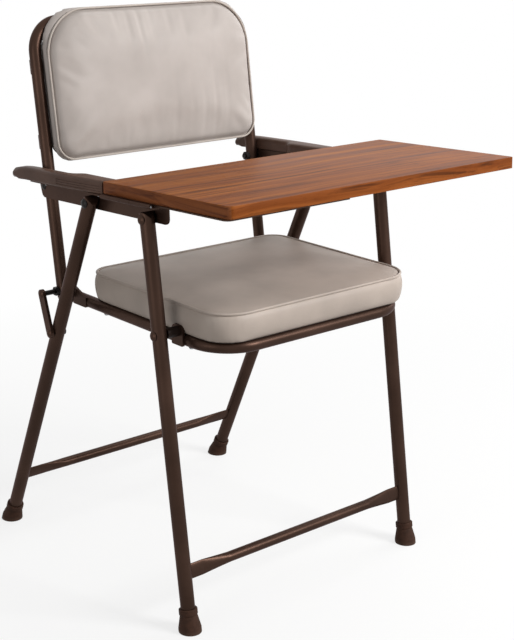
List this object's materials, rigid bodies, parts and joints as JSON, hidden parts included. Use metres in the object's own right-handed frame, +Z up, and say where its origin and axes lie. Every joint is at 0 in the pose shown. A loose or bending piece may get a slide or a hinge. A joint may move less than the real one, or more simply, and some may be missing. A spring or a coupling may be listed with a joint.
{
  "type": "folding study chair",
  "caption": "Folding tubular steel study chair with a padded seat and back, armrests and a full-width wooden writing board that lifts on the right arm.",
  "frame": {"origin": "on the floor, under the middle of the unfolded chair's bounding box", "axes": "+Z up, -Y the way the sitter faces, +X to the sitter's left"},
  "size_m": [0.594, 0.6203, 0.8806],
  "materials": {
    "frame_paint": "satin dark brown powder coat",
    "foot_rubber": "matt brown",
    "buffer_rubber": "matt black",
    "pad_plastic": "fine grained dark brown",
    "plug_plastic": "matt black",
    "leatherette": "soft pale taupe coated fabric",
    "plywood": "plain sanded",
    "board_veneer": "lacquered",
    "black_steel": "black oxide",
    "zinc_steel": "zinc plated"
  },
  "bodies": {
    "rear_frame": {"rear_leg_left": "frame_paint", "rear_leg_right": "frame_paint", "rear_stretcher": "frame_paint", "rear_foot_left": "foot_rubber", "rear_foot_right": "foot_rubber", "link_rivets": "frame_paint"},
    "arms": {"arm_bracket_left": "frame_paint", "arm_bracket_right": "frame_paint", "arm_pad_left": "pad_plastic", "arm_pad_right": "pad_plastic", "arm_pad_screws": "zinc_steel", "front_leg_rivets": "frame_paint", "rear_leg_rivets": "black_steel", "leg_washers": "black_steel", "board_hinge_pin": "zinc_steel", "board_buffers": "buffer_rubber"},
    "back": {"back_frame": "frame_paint", "back_frame_plugs": "plug_plastic", "back_board": "plywood", "back_cushion": "leatherette", "back_tabs": "frame_paint", "back_screws": "zinc_steel", "arm_pivot_bolts": "black_steel", "arm_pivot_nuts": "black_steel", "hinge_bolts": "black_steel", "hinge_nuts": "black_steel"},
    "front_frame": {"front_leg_left": "frame_paint", "front_leg_right": "frame_paint", "front_stretcher": "frame_paint", "front_foot_left": "foot_rubber", "front_foot_right": "foot_rubber", "seat_rivets": "frame_paint", "seat_bushes": "plug_plastic"},
    "seat": {"seat_frame": "frame_paint", "seat_frame_plugs": "plug_plastic", "seat_board": "plywood", "seat_cushion": "leatherette", "seat_hinge_lug_left": "frame_paint", "seat_hinge_lug_right": "frame_paint", "seat_pivot_lug_left": "frame_paint", "seat_pivot_lug_right": "frame_paint", "seat_screws": "zinc_steel"},
    "links": {"fold_link_left": "frame_paint", "fold_link_right": "frame_paint", "link_bolt_heads": "frame_paint"},
    "board": {"writing_board": "board_veneer", "board_plate": "frame_paint", "board_screws": "zinc_steel"}
  },
  "joints": [
    {"name": "fold", "type": "hinge", "parent": "rear_frame", "child": "arms", "pos_m": [-0.045, 0.01742, 0.612], "axis": [-1, 0, 0], "range_deg": [0, 44.76]},
    {"name": "back_pivot", "type": "hinge", "parent": "arms", "child": "back", "pos_m": [-0.045, 0.16342, 0.612], "axis": [1, 0, 0], "range_deg": [0, 70]},
    {"name": "front_leg_pivot", "type": "hinge", "parent": "arms", "child": "front_frame", "pos_m": [-0.045, -0.12558, 0.613], "axis": [1, 0, 0], "range_deg": [0, 70]},
    {"name": "seat_hinge", "type": "hinge", "parent": "back", "child": "seat", "pos_m": [-0.045, 0.13837, 0.446], "axis": [-1, 0, 0], "range_deg": [0, 70]},
    {"name": "link_pivot", "type": "hinge", "parent": "rear_frame", "child": "links", "pos_m": [-0.045, 0.11842, 0.386], "axis": [-1, 0, 0], "range_deg": [0, 108.12]},
    {"name": "board_lift", "type": "hinge", "parent": "arms", "child": "board", "pos_m": [-0.2865, -0.01858, 0.63], "axis": [0, -0.999, 0.0436], "range_deg": [0, 180]}
  ],
  "couplings": [
    {"joint": "back_pivot", "follows": "fold", "ratio": 1.5639},
    {"joint": "front_leg_pivot", "follows": "fold", "ratio": 1.5639},
    {"joint": "seat_hinge", "follows": "fold", "ratio": 1.5639},
    {"joint": "link_pivot", "follows": "fold", "ratio": 2.4156}
  ]
}
